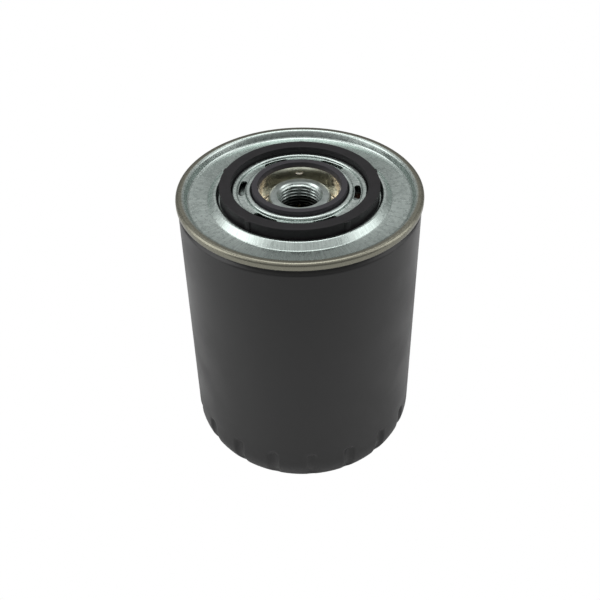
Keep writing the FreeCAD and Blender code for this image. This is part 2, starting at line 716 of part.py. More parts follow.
def make_caps():
    """The element's two pressed end caps and the sealing compound in them."""
    top = pressed(
        "topCap",
        [
            (COLLAR, COLLAR_TOP),
            (COLLAR, CAP_TOP),
            (CAP_INNER, CAP_TOP),
            (CAP_INNER, f"{CAP_TOP} - capFlange"),
        ],
        {1: "collarRound", 2: "capRound"},
        "capSheet",
    )
    keep(top, "top_end_cap")
    bottom = pressed(
        "bottomCap",
        [
            ("valvePort", CAP_FLOOR),
            (CAP_INNER, CAP_FLOOR),
            (CAP_INNER, f"{CAP_FLOOR} + capFlange"),
        ],
        {1: "capRound"},
        "-capSheet",
    )
    keep(bottom, "bottom_end_cap")
    for name, label, low, high in (
        ("topPotting", "top_potting", PAPER_TOP, CAP_TOP),
        ("bottomPotting", "bottom_potting", CAP_FLOOR, PAPER_LOW),
    ):
        inner, outer = f"{TUBE_INNER} - pottingLip", f"{CAP_INNER} - capRound"
        body = turned_body(name, [(inner, low), (outer, low), (outer, high), (inner, high)])
        keep(body, label)


def make_centre_tube():
    """Perforated steel tube that holds the paper against the oil's pressure."""
    body = turned_body(
        "tube",
        [(TUBE_INNER, PAPER_LOW), (TUBE_OUTER, PAPER_LOW), (TUBE_OUTER, PAPER_TOP),
         (TUBE_INNER, PAPER_TOP)],
    )
    spot = circle(body, "tubeSpot", (0, f"{PAPER_LOW} + tubeMargin"), "tubeHole", plane="XZ_Plane")
    hole = drill(body, "tubeDrill", spot, False)
    rows = body.newObject("PartDesign::LinearPattern", "tubeRowsUp")
    rows.Direction = (spot, ["V_Axis"])
    rows.Length = 10
    bind(rows, Length=f"{PAPER_TOP} - {PAPER_LOW} - 2 * tubeMargin", Occurrences="tubeRows")
    columns = body.newObject("PartDesign::PolarPattern", "tubeColumnsRound")
    columns.Axis = (spot, ["V_Axis"])
    columns.Angle = 360
    bind(columns, Occurrences="tubeColumns")
    grid = body.newObject("PartDesign::MultiTransform", "tubeHoles")
    grid.Originals = [hole]
    grid.Transformations = [rows, columns]
    body.Tip = grid
    doc.recompute()
    keep(body, "centre_tube")


def on_ray(radius, aside):
    """A point at a radius along the outer fold's ray, moved sideways from it."""
    return (
        f"({radius}) * cos({HALF_PLEAT}) - ({aside}) * sin({HALF_PLEAT})",
        f"({radius}) * sin({HALF_PLEAT}) + ({aside}) * cos({HALF_PLEAT})",
    )


def make_media():
    """Filter paper in deep pleats: half a pleat, mirrored, then repeated round the tube."""
    body = new_body("media")
    half = outline(
        body,
        "mediaHalfPleat",
        [
            (PAPER_INNER, "0"),
            (PAPER_INNER, FOLD_HALF),
            on_ray(f"{PAPER_OUTER} - paperSheet", "0 - foldGap"),
            on_ray(f"{PAPER_OUTER} - paperSheet", "0"),
            on_ray(PAPER_OUTER, "0"),
            on_ray(PAPER_OUTER, f"0 - {FOLD_HALF}"),
            (f"{PAPER_INNER} + paperSheet", "foldGap"),
            (f"{PAPER_INNER} + paperSheet", "0"),
        ],
        plane="XY_Plane",
        level=PAPER_LOW,
    )
    leg = body.newObject("PartDesign::Pad", "mediaLeg")
    leg.Profile = half
    bind(leg, Length=f"{PAPER_TOP} - {PAPER_LOW}")
    doc.recompute()
    mirror = body.newObject("PartDesign::Mirrored", "mediaMirror")
    mirror.MirrorPlane = (half, ["H_Axis"])
    ring = body.newObject("PartDesign::PolarPattern", "mediaRing")
    ring.Axis = (half, ["N_Axis"])
    ring.Angle = 360
    bind(ring, Occurrences="pleatCount")
    pleats = body.newObject("PartDesign::MultiTransform", "mediaPleats")
    pleats.Originals = [leg]
    pleats.Transformations = [mirror, ring]
    body.Tip = pleats
    doc.recompute()
    keep(body, "pleated_media")


def make_clip():
    """Folded steel strip that closes the paper's side seam at one outer fold."""
    tip = f"({PAPER_OUTER} + clipGap)"
    back = f"({tip} + clipSheet)"
    end = f"({PAPER_OUTER} - clipDepth)"
    inner = f"({FOLD_HALF} + clipSide)"
    outer = f"({inner} + clipSheet)"
    body = new_body("clip")
    section = outline(
        body,
        "clipSection",
        [(end, inner), (tip, inner), (tip, f"0 - {inner}"), (end, f"0 - {inner}"),
         (end, f"0 - {outer}"), (back, f"0 - {outer}"), (back, outer), (end, outer)],
        plane="XY_Plane",
        level=PAPER_LOW,
    )
    strip = body.newObject("PartDesign::Pad", "clipStrip")
    strip.Profile = section
    bind(strip, Length=f"{PAPER_TOP} - {PAPER_LOW}")
    doc.recompute()
    spin(body, HALF_PLEAT)
    keep(body, "media_clip")


def make_cage():
    """Relief valve's cage: an upturned cup with windows, welded on the bottom cap."""
    sheet = pressed(
        "cage",
        [
            ("cageFlange", CAP_FLOOR),
            ("cageInner", CAP_FLOOR),
            ("cageInner", CAGE_UNDER),
            ("cageHole", CAGE_UNDER),
        ],
        {1: "cageRound", 2: "cageRound"},
        "-cageSheet",
    )
    body = new_body("cage", sheet)
    low, high = f"{CAP_FLOOR} + windowLow", f"{CAP_FLOOR} + windowHigh"
    window = outline(body, "windowOutline", [("0 - windowHalf", low), ("windowHalf", low),
                                             ("windowHalf", high), ("0 - windowHalf", high)])
    opening = drill(body, "window", window, False)
    repeat(body, "windows", [opening], window, "windowCount")
    keep(body, "valve_cage")


def make_relief_valve():
    """The moving valve: rubber washer, stamped disc and guiding stem."""
    washer = turned_body(
        "washer",
        [("sealInner", WASHER_FOOT), ("sealOuter", WASHER_FOOT), ("sealOuter", DISC_FOOT),
         ("sealInner", DISC_FOOT)],
    )
    keep(washer, "valve_seal")
    disc = pressed(
        "disc",
        [
            ("stemRadius + stemGap", BOSS_FOOT),
            ("bossRadius", BOSS_FOOT),
            ("bossRadius", DISC_FOOT),
            ("discRadius", DISC_FOOT),
        ],
        {1: "bossRound", 2: "bossRound"},
        "discSheet",
    )
    keep(disc, "valve_disc")
    top = f"{CAGE_UNDER} + cageSheet + stemTop"
    stem = turned_body(
        "stem",
        [
            ("0", f"{BOSS_FOOT} - stemHeadThick"),
            ("stemHead", f"{BOSS_FOOT} - stemHeadThick"),
            ("stemHead", BOSS_FOOT),
            ("stemRadius", BOSS_FOOT),
            ("stemRadius", f"{top} - stemRadius / 2"),
            ("stemRadius / 2", top),
            ("0", top),
        ],
    )
    keep(stem, "valve_stem")


def make_spring(label, name, wire, radius, turns, low, high):
    """An open coil spring of whole turns between two faces."""
    body = new_body(name)
    start = f"({low} + {wire} / 2 + springGap)"
    rise = f"({high} - {low} - {wire} - 2 * springGap)"
    end = circle(body, name + "Wire", (radius, start), f"{wire} / 2", plane="XZ_Plane")
    coil = body.newObject("PartDesign::AdditiveHelix", name + "Coil")
    coil.Profile = end
    coil.ReferenceAxis = (end, ["V_Axis"])
    bind(coil, Pitch=f"{rise} / {turns}", Height=rise)
    doc.recompute()
    keep(body, label)


def check_and_write():
    """Stop on any failed feature or bad solid, then write one STEP file for each sub-part."""
    doc.recompute()
    for item in doc.Objects:
        if "Invalid" in item.State or "Error" in item.State:
            raise RuntimeError(f"{item.Name} failed: {item.State}")
    for piece in SUB_PARTS:
        if piece.Shape.isNull() or not piece.Shape.isValid() or len(piece.Shape.Solids) != 1:
            raise RuntimeError(f"{piece.Label} is not one valid solid")
    os.makedirs("parts", exist_ok=True)
    for piece in SUB_PARTS:
        piece.Shape.exportStep(f"parts/{piece.Label}.step")
        print(f"{piece.Label:18} {piece.Shape.Volume:10.1f} mm3")


dims = fill_sheet()
make_can()
make_lid()
make_seam_compound()
make_plate()
make_retainer()
make_gaskets()
make_drain_valve()
make_caps()
make_centre_tube()
make_media()
make_clip()
make_cage()
make_relief_valve()
make_spring("valve_spring", "reliefSpring", "reliefWire", "reliefCoil", "reliefTurns", DISC_TOP, CAGE_UNDER)
make_spring("support_spring", "supportSpring", "supportWire", SUPPORT_COIL, "supportTurns", "canSheet",
            "capBase")
check_and_write()
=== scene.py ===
import json
import math

import bpy
from mathutils import Matrix, Vector


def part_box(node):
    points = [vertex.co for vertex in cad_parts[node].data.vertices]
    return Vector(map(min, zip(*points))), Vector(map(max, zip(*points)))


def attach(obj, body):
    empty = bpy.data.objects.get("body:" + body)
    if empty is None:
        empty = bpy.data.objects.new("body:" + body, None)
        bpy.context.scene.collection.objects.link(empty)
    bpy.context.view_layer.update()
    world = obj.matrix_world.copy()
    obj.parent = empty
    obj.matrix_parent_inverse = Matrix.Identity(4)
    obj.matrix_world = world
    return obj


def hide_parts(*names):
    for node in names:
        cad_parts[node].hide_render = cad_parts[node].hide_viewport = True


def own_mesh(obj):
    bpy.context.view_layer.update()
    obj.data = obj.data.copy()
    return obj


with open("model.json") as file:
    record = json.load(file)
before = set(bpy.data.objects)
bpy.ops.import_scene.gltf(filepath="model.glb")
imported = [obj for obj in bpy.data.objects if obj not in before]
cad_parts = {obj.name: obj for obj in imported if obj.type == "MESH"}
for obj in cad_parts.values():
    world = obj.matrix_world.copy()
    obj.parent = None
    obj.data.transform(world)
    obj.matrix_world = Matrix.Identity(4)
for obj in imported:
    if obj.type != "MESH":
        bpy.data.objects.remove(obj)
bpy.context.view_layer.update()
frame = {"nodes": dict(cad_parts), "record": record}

mm = 0.001
fullTurn = 2 * math.pi
weldGap = 0.002 * mm
hair = 0.01 * mm
smoothAngle = math.radians(32)
cutterSides = 32

# camera, floor and light
studioView = {
    "aim": (-0.83 * mm, 0, 76.7 * mm),
    "distance": 443 * mm,
    "elevation": math.radians(40.1),
    "roll": math.radians(-1.19),
    "lens": 55.54,
    "sensor": 36,
}
studioLight = {
    "top": {"place": (0.0, 0.12, 0.8), "size": (0.45, 0.35), "power": 1.2},
    "left": {"place": (-0.7, -0.05, 0.45), "size": (0.5, 0.8), "power": 3.0},
    "right": {"place": (0.7, 0.0, 0.45), "size": (0.4, 0.8), "power": 2.0},
}
studioAir = {"backdrop": 1.0, "below": 0.25, "horizon": 0.2, "high": 0.4, "zenith": 0.9}
floorLook = {"size": 6, "seen": 1.0, "tone": 0.8}


def buildCamera(view):
    e, r = view["elevation"], view["roll"]
    back = Vector((0, -math.cos(e), math.sin(e)))
    right, up = Vector((1, 0, 0)), Vector((0, math.sin(e), math.cos(e)))
    sideways = right * math.cos(r) + up * math.sin(r)
    upright = up * math.cos(r) - right * math.sin(r)
    bpy.ops.object.camera_add(location=Vector(view["aim"]) + back * view["distance"])
    camera = bpy.context.object
    camera.name = "viewCamera"
    camera.rotation_euler = Matrix((sideways, upright, back)).transposed().to_euler()
    camera.data.lens = view["lens"]
    camera.data.sensor_width = view["sensor"]
    camera.data.clip_start = 0.01
    bpy.context.scene.camera = camera


def buildLights(lights):
    for name, light in lights.items():
        bpy.ops.object.light_add(type="AREA", location=light["place"])
        lamp = bpy.context.object
        lamp.name = name + "Softbox"
        lamp.data.shape = "RECTANGLE"
        lamp.data.size, lamp.data.size_y = light["size"]
        lamp.data.energy = light["power"]
        aim = Vector((0, 0, 0.09)) - Vector(light["place"])
        lamp.rotation_euler = aim.to_track_quat("-Z", "Y").to_euler()


# node trees
def addNode(tree, kind, **settings):
    node = tree.nodes.new(kind)
    for name, value in settings.items():
        if name.startswith("in_"):
            node.inputs[name[3:].replace("_", " ")].default_value = value
        else:
            setattr(node, name, value)
    return node


def join(tree, source, target):
    tree.links.new(source, target)


def maths(tree, operation, *values):
    node = addNode(tree, "ShaderNodeMath", operation=operation)
    for socket, value in zip(node.inputs, values):
        if hasattr(value, "links"):
            join(tree, value, socket)
        else:
            socket.default_value = value
    return node.outputs[0]


def ramp(tree, factor, stops):
    node = addNode(tree, "ShaderNodeValToRGB")
    elements = node.color_ramp.elements
    while len(elements) < len(stops):
        elements.new(0.5)
    for element, (place, colour) in zip(elements, stops):
        element.position = place
        element.color = (*colour, 1)
    join(tree, factor, node.inputs[0])
    return node.outputs[0]


def grey(value):
    return (value, value, value)


def buildWorld(air):
    world = bpy.data.worlds.new("paleStudio")
    bpy.context.scene.world = world
    world.use_nodes = True
    tree = world.node_tree
    place = addNode(tree, "ShaderNodeTexCoord")
    split = addNode(tree, "ShaderNodeSeparateXYZ")
    join(tree, place.outputs["Generated"], split.inputs[0])
    height = maths(tree, "MULTIPLY_ADD", split.outputs["Z"], 0.5, 0.5)
    tone = ramp(tree, height, [(0.0, grey(air["below"])), (0.48, grey(air["horizon"])),
                               (0.8, grey(air["high"])), (1.0, grey(air["zenith"]))])
    lit = tree.nodes["Background"]
    join(tree, tone, lit.inputs[0])
    seen = addNode(tree, "ShaderNodeBackground", in_Color=(1, 1, 1, 1), in_Strength=air["backdrop"])
    path = addNode(tree, "ShaderNodeLightPath")
    mix = addNode(tree, "ShaderNodeMixShader")
    join(tree, path.outputs["Is Camera Ray"], mix.inputs[0])
    join(tree, lit.outputs[0], mix.inputs[1])
    join(tree, seen.outputs[0], mix.inputs[2])
    join(tree, mix.outputs[0], tree.nodes["World Output"].inputs[0])


def buildFloor(look):
    bpy.ops.mesh.primitive_plane_add(size=look["size"])
    floor = bpy.context.object
    floor.name = "paleFloor"
    material = bpy.data.materials.new("floorWhite")
    material.use_nodes = True
    tree = material.node_tree
    shader = tree.nodes["Principled BSDF"]
    shader.inputs["Base Color"].default_value = (*grey(look["tone"]), 1)
    shader.inputs["Roughness"].default_value = 0.9
    glow = addNode(tree, "ShaderNodeEmission", in_Strength=look["seen"])
    path = addNode(tree, "ShaderNodeLightPath")
    mix = addNode(tree, "ShaderNodeMixShader")
    join(tree, path.outputs["Is Camera Ray"], mix.inputs[0])
    join(tree, shader.outputs[0], mix.inputs[1])
    join(tree, glow.outputs[0], mix.inputs[2])
    join(tree, mix.outputs[0], tree.nodes["Material Output"].inputs[0])
    floor.data.materials.append(material)


# modelling
def clearSelection():
    if bpy.context.object and bpy.context.object.mode != "OBJECT":
        bpy.ops.object.mode_set(mode="OBJECT")
    bpy.ops.object.select_all(action="DESELECT")


def rounded(corners, rounds, closed=False, rows=None, wideRound=5 * mm):
    # corners are (radius, height); rounds and rows are given by the corner's number
    points = []
    count = len(corners)
    for i, corner in enumerate(corners):
        here = Vector(corner)
        if i in rounds:
            back = (Vector(corners[i - 1]) - here).normalized()
            ahead = (Vector(corners[(i + 1) % count]) - here).normalized()
            half = back.angle(ahead) / 2
            centre = here + (back + ahead).normalized() * (rounds[i] / math.sin(half))
            start = here + back * (rounds[i] / math.tan(half)) - centre
            end = here + ahead * (rounds[i] / math.tan(half)) - centre
            step = math.radians(5 if rounds[i] > wideRound else 15)
            cuts = max(3, math.ceil((math.pi - 2 * half) / step))
            points += [centre + start.slerp(end, k / cuts).normalized() * rounds[i]
                       for k in range(cuts + 1)]
        else:
            points.append(here)
        if rows and i in rows:
            goal = Vector(corners[(i + 1) % count])
            first = points[-1]
            if (i + 1) % count in rounds:
                back = (first - goal).normalized()
                ahead = (Vector(corners[(i + 2) % count]) - goal).normalized()
                goal = goal + back * (rounds[(i + 1) % count] / math.tan(back.angle(ahead) / 2))
            points += [first.lerp(goal, k / rows[i]) for k in range(1, rows[i])]
    if closed:
        points.append(points[0])
    return points


def drawProfile(name, points):
    clearSelection()
    bpy.ops.mesh.primitive_plane_add(size=mm, location=(points[0].x, 0, points[0].y))
    piece = bpy.context.object
    piece.name = name
    bpy.ops.object.transform_apply(location=True)
    bpy.ops.object.mode_set(mode="EDIT")
    bpy.ops.mesh.select_all(action="SELECT")
    bpy.ops.mesh.merge(type="CENTER")
    for here, ahead in zip(points, points[1:]):
        step = (ahead.x - here.x, 0, ahead.y - here.y)
        bpy.ops.mesh.extrude_region_move(TRANSFORM_OT_translate={"value": step})
    return piece


def spinRound(steps):
    bpy.ops.mesh.select_all(action="SELECT")
    bpy.ops.mesh.spin(steps=steps, angle=fullTurn, center=(0, 0, 0), axis=(0, 0, 1))
    bpy.ops.mesh.select_all(action="SELECT")
    bpy.ops.mesh.remove_doubles(threshold=weldGap)
    bpy.ops.mesh.normals_make_consistent(inside=False)


def turnPiece(name, points, steps, flip=False):
    piece = drawProfile(name, points)
    spinRound(steps)
    if flip:
        bpy.ops.mesh.flip_normals()
    bpy.ops.object.mode_set(mode="OBJECT")
    return piece


def addModifier(piece, kind, **settings):
    modifier = piece.modifiers.new(kind.lower(), kind)
    for name, value in settings.items():
        setattr(modifier, name, value)
    bpy.context.view_layer.objects.active = piece
    bpy.ops.object.modifier_apply(modifier=modifier.name)


def finishPiece(piece, body, node, slot):
    clearSelection()
    piece.select_set(True)
    bpy.context.view_layer.objects.active = piece
    bpy.ops.object.shade_smooth_by_angle(angle=smoothAngle)
    piece.data.materials.clear()
    piece.data.materials.append(finishes[slot])
    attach(piece, body)
    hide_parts(node)
    print(f"{piece.name}: {len(piece.data.polygons)} faces")


def weigh(piece, name, weight):
    # a vertex group whose weights come from each vertex's place
    group = piece.vertex_groups.new(name=name)
    for vertex in piece.data.vertices:
        value = weight(vertex.co)
        if value > 0.001:
            group.add([vertex.index], min(value, 1), "REPLACE")
    return group.name


# shared effects, as node groups
def newGroup(name, inputs, output):
    tree = bpy.data.node_groups.new(name, "ShaderNodeTree")
    for label, value in inputs.items():
        socket = tree.interface.new_socket(label, in_out="INPUT", socket_type="NodeSocketFloat")
        socket.default_value = value
    tree.interface.new_socket(output, in_out="OUTPUT", socket_type="NodeSocketFloat")
    return tree, addNode(tree, "NodeGroupInput"), addNode(tree, "NodeGroupOutput")


def buildMottle():
    # uneven patches: 0 in the hollows, 1 on the patches
    tree, given, result = newGroup("mottle", {"Scale": 100, "Detail": 4, "Low": 0.35, "High": 0.65}, "Mask")
    place = addNode(tree, "ShaderNodeTexCoord")
    cloud = addNode(tree, "ShaderNodeTexNoise")
    join(tree, place.outputs["Object"], cloud.inputs["Vector"])
    join(tree, given.outputs["Scale"], cloud.inputs["Scale"])
    join(tree, given.outputs["Detail"], cloud.inputs["Detail"])
    spread = addNode(tree, "ShaderNodeMapRange", interpolation_type="SMOOTHSTEP")
    join(tree, cloud.outputs[0], spread.inputs["Value"])
    join(tree, given.outputs["Low"], spread.inputs["From Min"])
    join(tree, given.outputs["High"], spread.inputs["From Max"])
    join(tree, spread.outputs[0], result.inputs[0])
    return tree


def buildTurnedGrain():
    # noise drawn out round the axis (small Round) or along the radius (small Across)
    tree, given, result = newGroup("turnedGrain", {"Round": 1, "Across": 2000, "Up": 2000}, "Value")
    place = addNode(tree, "ShaderNodeTexCoord")
    split = addNode(tree, "ShaderNodeSeparateXYZ")
    join(tree, place.outputs["Object"], split.inputs[0])
    x, y, z = split.outputs
    radius = maths(tree, "SQRT", maths(tree, "ADD", maths(tree, "MULTIPLY", x, x),
                                       maths(tree, "MULTIPLY", y, y)))
    safe = maths(tree, "MAXIMUM", radius, hair)
    east = maths(tree, "MULTIPLY", maths(tree, "DIVIDE", x, safe), given.outputs["Round"])
    north = maths(tree, "MULTIPLY", maths(tree, "DIVIDE", y, safe), given.outputs["Round"])
    depth = maths(tree, "ADD", maths(tree, "MULTIPLY", radius, given.outputs["Across"]),
                  maths(tree, "MULTIPLY", z, given.outputs["Up"]))
    packed = addNode(tree, "ShaderNodeCombineXYZ")
    for value, socket in zip((east, north, depth), packed.inputs):
        join(tree, value, socket)
    grain = addNode(tree, "ShaderNodeTexNoise", in_Scale=1.0, in_Detail=3.0)
    join(tree, packed.outputs[0], grain.inputs["Vector"])
    join(tree, grain.outputs[0], result.inputs[0])
    return tree


def buildRingMask():
    # 1 between two radii, fading over Soft on both sides
    tree, given, result = newGroup("ringMask", {"Inner": 0.0, "Outer": 0.05, "Soft": 0.001}, "Mask")
    place = addNode(tree, "ShaderNodeTexCoord")
    split = addNode(tree, "ShaderNodeSeparateXYZ")
    join(tree, place.outputs["Object"], split.inputs[0])
    x, y = split.outputs[0], split.outputs[1]
    radius = maths(tree, "SQRT", maths(tree, "ADD", maths(tree, "MULTIPLY", x, x),
                                       maths(tree, "MULTIPLY", y, y)))
    inside = maths(tree, "DIVIDE", maths(tree, "SUBTRACT", radius, given.outputs["Inner"]),
                   given.outputs["Soft"])
    outside = maths(tree, "DIVIDE", maths(tree, "SUBTRACT", given.outputs["Outer"], radius),
                    given.outputs["Soft"])
    both = addNode(tree, "ShaderNodeMath", operation="MINIMUM", use_clamp=True)
    join(tree, inside, both.inputs[0])
    join(tree, outside, both.inputs[1])
    join(tree, both.outputs[0], result.inputs[0])
    return tree


groups = {"mottle": buildMottle(), "grain": buildTurnedGrain(), "ring": buildRingMask()}


def effect(tree, name, **values):
    node = addNode(tree, "ShaderNodeGroup", node_tree=groups[name])
    for label, value in values.items():
        node.inputs[label].default_value = value
    return node.outputs[0]


def blendColour(tree, factor, first, second):
    node = addNode(tree, "ShaderNodeMix", data_type="RGBA")
    join(tree, factor, node.inputs[0])
    for socket, colour in ((node.inputs[6], first), (node.inputs[7], second)):
        if hasattr(colour, "links"):
            join(tree, colour, socket)
        else:
            socket.default_value = (*colour, 1)
    return node.outputs[2]


def between(tree, factor, low, high, span=(0, 1)):
    # a number that goes from low to high while the factor crosses the span
    node = addNode(tree, "ShaderNodeMapRange")
    node.inputs["From Min"].default_value, node.inputs["From Max"].default_value = span
    node.inputs["To Min"].default_value = low
    node.inputs["To Max"].default_value = high
    join(tree, factor, node.inputs["Value"])
    return node.outputs[0]


def relief(tree, shader, height, strength, depth):
    bump = addNode(tree, "ShaderNodeBump")
    bump.inputs["Strength"].default_value = strength
    bump.inputs["Distance"].default_value = depth
    join(tree, height, bump.inputs["Height"])
    join(tree, bump.outputs[0], shader.inputs["Normal"])


def newFinish(name, metal):
    material = bpy.data.materials.new(name)
    material.use_nodes = True
    tree = material.node_tree
    shader = tree.nodes["Principled BSDF"]
    shader.inputs["Metallic"].default_value = metal
    return material, tree, shader


# one finish for each material slot
paintLook = {
    "tone": (0.007, 0.007, 0.0072), "dust": (0.011, 0.011, 0.011), "rough": (0.36, 0.46),
    "patch": {"Scale": 45, "Detail": 6, "Low": 0.35, "High": 0.7},
    "peel": {"Scale": 1500, "Detail": 2, "Low": 0.2, "High": 0.8}, "bump": 0.35, "depth": 0.012 * mm,
}


def paintFinish(name, look):
    material, tree, shader = newFinish(name, 0)
    patches = effect(tree, "mottle", **look["patch"])
    join(tree, blendColour(tree, patches, look["tone"], look["dust"]), shader.inputs["Base Color"])
    join(tree, between(tree, patches, *look["rough"]), shader.inputs["Roughness"])
    relief(tree, shader, effect(tree, "mottle", **look["peel"]), look["bump"], look["depth"])
    return material


lidLook = {
    "bright": (0.59, 0.655, 0.625), "dull": (0.47, 0.54, 0.513), "gold": (0.235, 0.23, 0.185),
    "spangle": {"Scale": 700, "Detail": 2, "Low": 0.3, "High": 0.7},
    "patch": {"Scale": 55, "Detail": 5, "Low": 0.3, "High": 0.75},
    "seam": {"Inner": 50.6 * mm, "Outer": 60 * mm, "Soft": 1 * mm},
    "slope": {"Inner": 37.2 * mm, "Outer": 49.5 * mm, "Soft": 1.2 * mm},
    "comb": {"Round": 150, "Across": 60, "Up": 60}, "combSpan": (0.35, 0.65), "combShare": 0.7,
    "combLine": (0.33, 0.375, 0.355), "streak": 0.7, "rough": (0.26, 0.34), "bump": 0.1,
    "depth": 0.012 * mm,
}


def lidFinish(name, look):
    material, tree, shader = newFinish(name, 1)
    # two sizes of spangle, radial lines on the slope, and a duller gold tone over the seam
    spangle = effect(tree, "mottle", **look["spangle"])
    patches = effect(tree, "mottle", **look["patch"])
    worn = maths(tree, "MULTIPLY", maths(tree, "ADD", spangle, patches), 0.5)
    zinc = blendColour(tree, worn, look["dull"], look["bright"])
    combed = between(tree, effect(tree, "grain", **look["comb"]), 0, look["combShare"], look["combSpan"])
    lines = maths(tree, "MULTIPLY", combed, effect(tree, "ring", **look["slope"]))
    zinc = blendColour(tree, lines, zinc, look["combLine"])
    seam = effect(tree, "ring", **look["seam"])
    join(tree, blendColour(tree, seam, zinc, look["gold"]), shader.inputs["Base Color"])
    join(tree, between(tree, spangle, *look["rough"]), shader.inputs["Roughness"])
    tangent = addNode(tree, "ShaderNodeTangent", direction_type="RADIAL", axis="Z")
    join(tree, tangent.outputs[0], shader.inputs["Tangent"])
    shader.inputs["Anisotropic"].default_value = look["streak"]
    relief(tree, shader, spangle, look["bump"], look["depth"])
    return material


def shadeBore(tree, colour, look):
    # the bore darkens downwards, as little light comes up through it
    place = addNode(tree, "ShaderNodeTexCoord")
    split = addNode(tree, "ShaderNodeSeparateXYZ")
    join(tree, place.outputs["Object"], split.inputs[0])
    depth = addNode(tree, "ShaderNodeMapRange", interpolation_type="SMOOTHSTEP")
    join(tree, split.outputs[2], depth.inputs["Value"])
    depth.inputs["From Min"].default_value, depth.inputs["From Max"].default_value = look["dark"]
    inside = effect(tree, "ring", **look["well"])
    return blendColour(tree, maths(tree, "MULTIPLY", depth.outputs[0], inside), colour, look["shade"])


def metalFinish(name, look):
    # plated or plain steel with lines left by drawing or turning
    material, tree, shader = newFinish(name, 1)
    patches = effect(tree, "mottle", Scale=look["patch"], **metalPatches)
    colour = blendColour(tree, patches, look["dull"], look["bright"])
    if "shade" in look:
        colour = shadeBore(tree, colour, look)
    join(tree, colour, shader.inputs["Base Color"])
    lines = effect(tree, "grain", Round=look["round"], Across=look["across"], Up=look["up"])
    join(tree, between(tree, lines, *look["rough"]), shader.inputs["Roughness"])
    relief(tree, shader, lines, look["bump"], look["depth"])
    return material


metalPatches = {"Detail": 5, "Low": 0.3, "High": 0.7}
metalLooks = {
    "plate_zinc": {"bright": (0.54, 0.6, 0.575), "dull": (0.4, 0.455, 0.435), "patch": 420,
                   "shade": (0.02, 0.022, 0.02), "dark": (132 * mm, 129 * mm),
                   "well": {"Inner": -1 * mm, "Outer": 9.7 * mm, "Soft": 0.1 * mm},
                   "rough": (0.2, 0.4), "round": 2, "across": 3500, "up": 2500, "bump": 0.5,
                   "depth": 0.02 * mm},
    "yellow_zinc": {"bright": (0.92, 0.87, 0.76), "dull": (0.76, 0.7, 0.58), "patch": 160,
                    "rough": (0.14, 0.3), "round": 20, "across": 300, "up": 900, "bump": 0.4,
                    "depth": 0.02 * mm},
    "cap_tinplate": {"bright": (0.62, 0.61, 0.57), "dull": (0.45, 0.44, 0.41), "patch": 300,
                     "rough": (0.2, 0.4), "round": 3, "across": 1800, "up": 1800, "bump": 0.4,
                     "depth": 0.02 * mm},
    "clip_steel": {"bright": (0.52, 0.52, 0.53), "dull": (0.38, 0.38, 0.39), "patch": 500,
                   "rough": (0.25, 0.45), "round": 30, "across": 2000, "up": 200, "bump": 0.5,
                   "depth": 0.02 * mm},
    "tube_steel": {"bright": (0.45, 0.46, 0.47), "dull": (0.3, 0.31, 0.32), "patch": 240,
                   "rough": (0.28, 0.5), "round": 60, "across": 900, "up": 300, "bump": 0.5,
                   "depth": 0.03 * mm},
    "spring_steel": {"bright": (0.2, 0.205, 0.23), "dull": (0.10, 0.10, 0.11), "patch": 350,
                     "rough": (0.28, 0.45), "round": 40, "across": 1500, "up": 1500, "bump": 0.4,
                     "depth": 0.02 * mm},
}


def softFinish(name, look):
    # rubber, compound and paper: matt, faintly uneven, with a fine surface
    material, tree, shader = newFinish(name, 0)
    patches = effect(tree, "mottle", Scale=look["patch"], **softPatches)
    colour = blendColour(tree, patches, look["deep"], look["pale"])
    if "bloom" in look:
        colour = blendColour(tree, effect(tree, "ring", **look["bloomRing"]), colour, look["bloom"])
    join(tree, colour, shader.inputs["Base Color"])
    join(tree, between(tree, patches, *look["rough"]), shader.inputs["Roughness"])
    shader.inputs["Specular IOR Level"].default_value = look["shine"]
    surface = effect(tree, "grain", Round=look["round"], Across=look["across"], Up=look["up"])
    relief(tree, shader, surface, look["bump"], look["depth"])
    return material


softPatches = {"Detail": 6, "Low": 0.3, "High": 0.75}
softLooks = {
    "gasket_rubber": {"deep": (0.008, 0.0072, 0.0082), "pale": (0.014, 0.013, 0.0145), "patch": 260,
                      "bloom": (0.034, 0.032, 0.037), "shine": 0.3,
                      "bloomRing": {"Inner": 10 * mm, "Outer": 22 * mm, "Soft": 1 * mm},
                      "rough": (0.5, 0.66), "round": 120, "across": 900, "up": 500, "bump": 0.35,
                      "depth": 0.04 * mm},
    "valve_rubber": {"deep": (0.085, 0.028, 0.014), "pale": (0.13, 0.05, 0.028), "patch": 200, "shine": 0.5,
                     "rough": (0.4, 0.55), "round": 30, "across": 900, "up": 900, "bump": 0.3,
                     "depth": 0.03 * mm},
    "sealing_compound": {"deep": (0.19, 0.165, 0.115), "pale": (0.3, 0.27, 0.2), "patch": 500, "shine": 0.5,
                         "rough": (0.5, 0.8), "round": 60, "across": 800, "up": 800, "bump": 0.6,
                         "depth": 0.06 * mm},
    "plastisol": {"deep": (0.42, 0.08, 0.04), "pale": (0.6, 0.15, 0.08), "patch": 180, "shine": 0.5,
                  "rough": (0.3, 0.5), "round": 20, "across": 300, "up": 300, "bump": 0.5,
                  "depth": 0.08 * mm},
    "filter_paper": {"deep": (0.62, 0.45, 0.2), "pale": (0.78, 0.62, 0.34), "patch": 900, "shine": 0.5,
                     "rough": (0.8, 0.95), "round": 300, "across": 2200, "up": 2200, "bump": 0.7,
                     "depth": 0.05 * mm},
}

